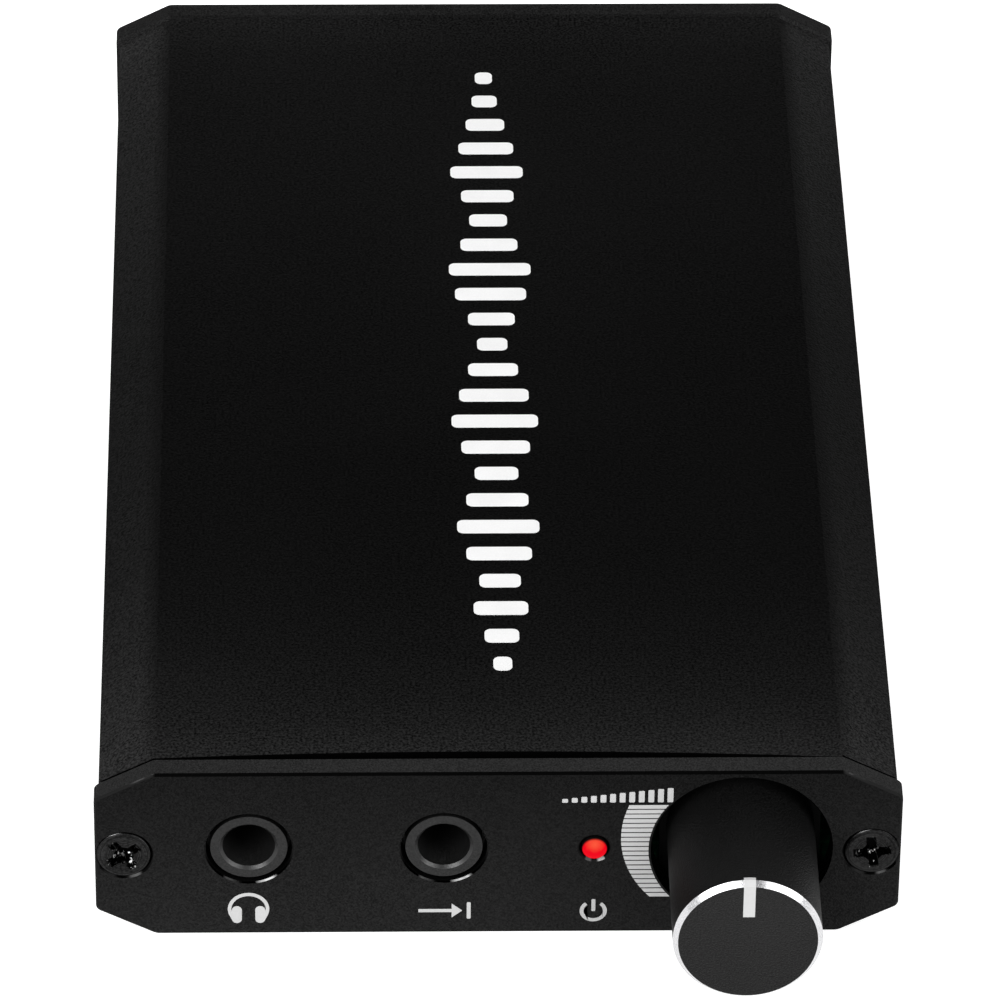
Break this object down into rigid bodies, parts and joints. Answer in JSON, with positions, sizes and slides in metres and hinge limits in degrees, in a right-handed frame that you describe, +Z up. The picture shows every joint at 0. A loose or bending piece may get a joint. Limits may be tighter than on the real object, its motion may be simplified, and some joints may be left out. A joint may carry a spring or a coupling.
{
  "type": "headphone amplifier",
  "caption": "Pocket headphone amplifier: eight-sided black aluminium case with jack sockets, a lamp, a turning volume knob and, at the rear, a charge socket and gain switch.",
  "frame": {"origin": "middle of the overall width and length, at the height of the table", "axes": "+X to the user's right, the front faces -Y, +Z up"},
  "size_m": [0.055, 0.1062, 0.014],
  "materials": {
    "sleeve": "bead-blasted, black anodised",
    "front_plate": "bead-blasted, black anodised",
    "rear_plate": "bead-blasted, black anodised",
    "front_screws": "black oxide",
    "rear_screws": "black oxide",
    "headphone_jack_body": "black, moulded",
    "headphone_jack_contacts": "plated spring",
    "line_in_jack_body": "black, moulded",
    "line_in_jack_contacts": "plated spring",
    "power_led": "red, lit",
    "power_led_leads": "tinned",
    "charge_led": "green, clear",
    "charge_led_leads": "tinned",
    "knob_shell": "black anodised, with a bright cut rim",
    "knob_pointer": "white inlay",
    "knob_insert": "moulded",
    "pot_bracket": "blackened sheet",
    "pot_body": "moulded",
    "pot_track": "laminate with carbon track",
    "pot_shaft": "turned",
    "pot_rotor": "moulded",
    "pot_wiper": "spring sheet",
    "pot_terminals": "tinned",
    "battery_cell": "foil pouch",
    "battery_tape": "foam tape",
    "battery_guard": "taped protection board",
    "battery_lead_red": "red insulation",
    "battery_lead_black": "black insulation",
    "battery_plug": "moulded",
    "battery_header": "moulded",
    "battery_header_pins": "tinned",
    "charge_socket_shell": "plated sheet",
    "charge_socket_insulator": "moulded",
    "charge_socket_contacts": "gold-plated",
    "gain_switch_frame": "plated sheet",
    "gain_switch_base": "moulded",
    "gain_switch_terminals": "tinned",
    "gain_slider": "moulded",
    "gain_bridge": "spring sheet",
    "amplifier_chips": "moulded",
    "amplifier_chip_leads": "tinned",
    "charger_chip": "moulded",
    "charger_chip_leads": "tinned",
    "filter_capacitor_bases": "moulded",
    "filter_capacitor_cans": "bright cans",
    "boost_inductor": "ferrite",
    "chip_resistors": "glazed",
    "main_board": "green solder mask",
    "insulation_sheet": "film"
  },
  "bodies": {
    "case": {"sleeve": "sleeve", "front_plate": "front_plate", "rear_plate": "rear_plate", "front_screws": "front_screws", "rear_screws": "rear_screws", "headphone_jack_body": "headphone_jack_body", "headphone_jack_contacts": "headphone_jack_contacts", "line_in_jack_body": "line_in_jack_body", "line_in_jack_contacts": "line_in_jack_contacts", "power_led": "power_led", "power_led_leads": "power_led_leads", "charge_led": "charge_led", "charge_led_leads": "charge_led_leads", "pot_bracket": "pot_bracket", "pot_body": "pot_body", "pot_track": "pot_track", "pot_terminals": "pot_terminals", "battery_cell": "battery_cell", "battery_tape": "battery_tape", "battery_guard": "battery_guard", "battery_lead_red": "battery_lead_red", "battery_lead_black": "battery_lead_black", "battery_plug": "battery_plug", "battery_header": "battery_header", "battery_header_pins": "battery_header_pins", "charge_socket_shell": "charge_socket_shell", "charge_socket_insulator": "charge_socket_insulator", "charge_socket_contacts": "charge_socket_contacts", "gain_switch_frame": "gain_switch_frame", "gain_switch_base": "gain_switch_base", "gain_switch_terminals": "gain_switch_terminals", "amplifier_chips": "amplifier_chips", "amplifier_chip_leads": "amplifier_chip_leads", "charger_chip": "charger_chip", "charger_chip_leads": "charger_chip_leads", "filter_capacitor_bases": "filter_capacitor_bases", "filter_capacitor_cans": "filter_capacitor_cans", "boost_inductor": "boost_inductor", "chip_resistors": "chip_resistors", "main_board": "main_board", "insulation_sheet": "insulation_sheet"},
    "knob": {"knob_shell": "knob_shell", "knob_pointer": "knob_pointer", "knob_insert": "knob_insert", "pot_shaft": "pot_shaft", "pot_rotor": "pot_rotor", "pot_wiper": "pot_wiper"},
    "gain_switch": {"gain_slider": "gain_slider", "gain_bridge": "gain_bridge"}
  },
  "joints": [
    {"name": "volume_turn", "type": "hinge", "parent": "case", "child": "knob", "pos_m": [0.01662, -0.05315, 0.0073], "axis": [0, 1, 0], "range_deg": [-150, 150]},
    {"name": "gain_slide", "type": "slide", "parent": "case", "child": "gain_switch", "axis": [1, 0, 0], "range_m": [0, 0.002]}
  ]
}
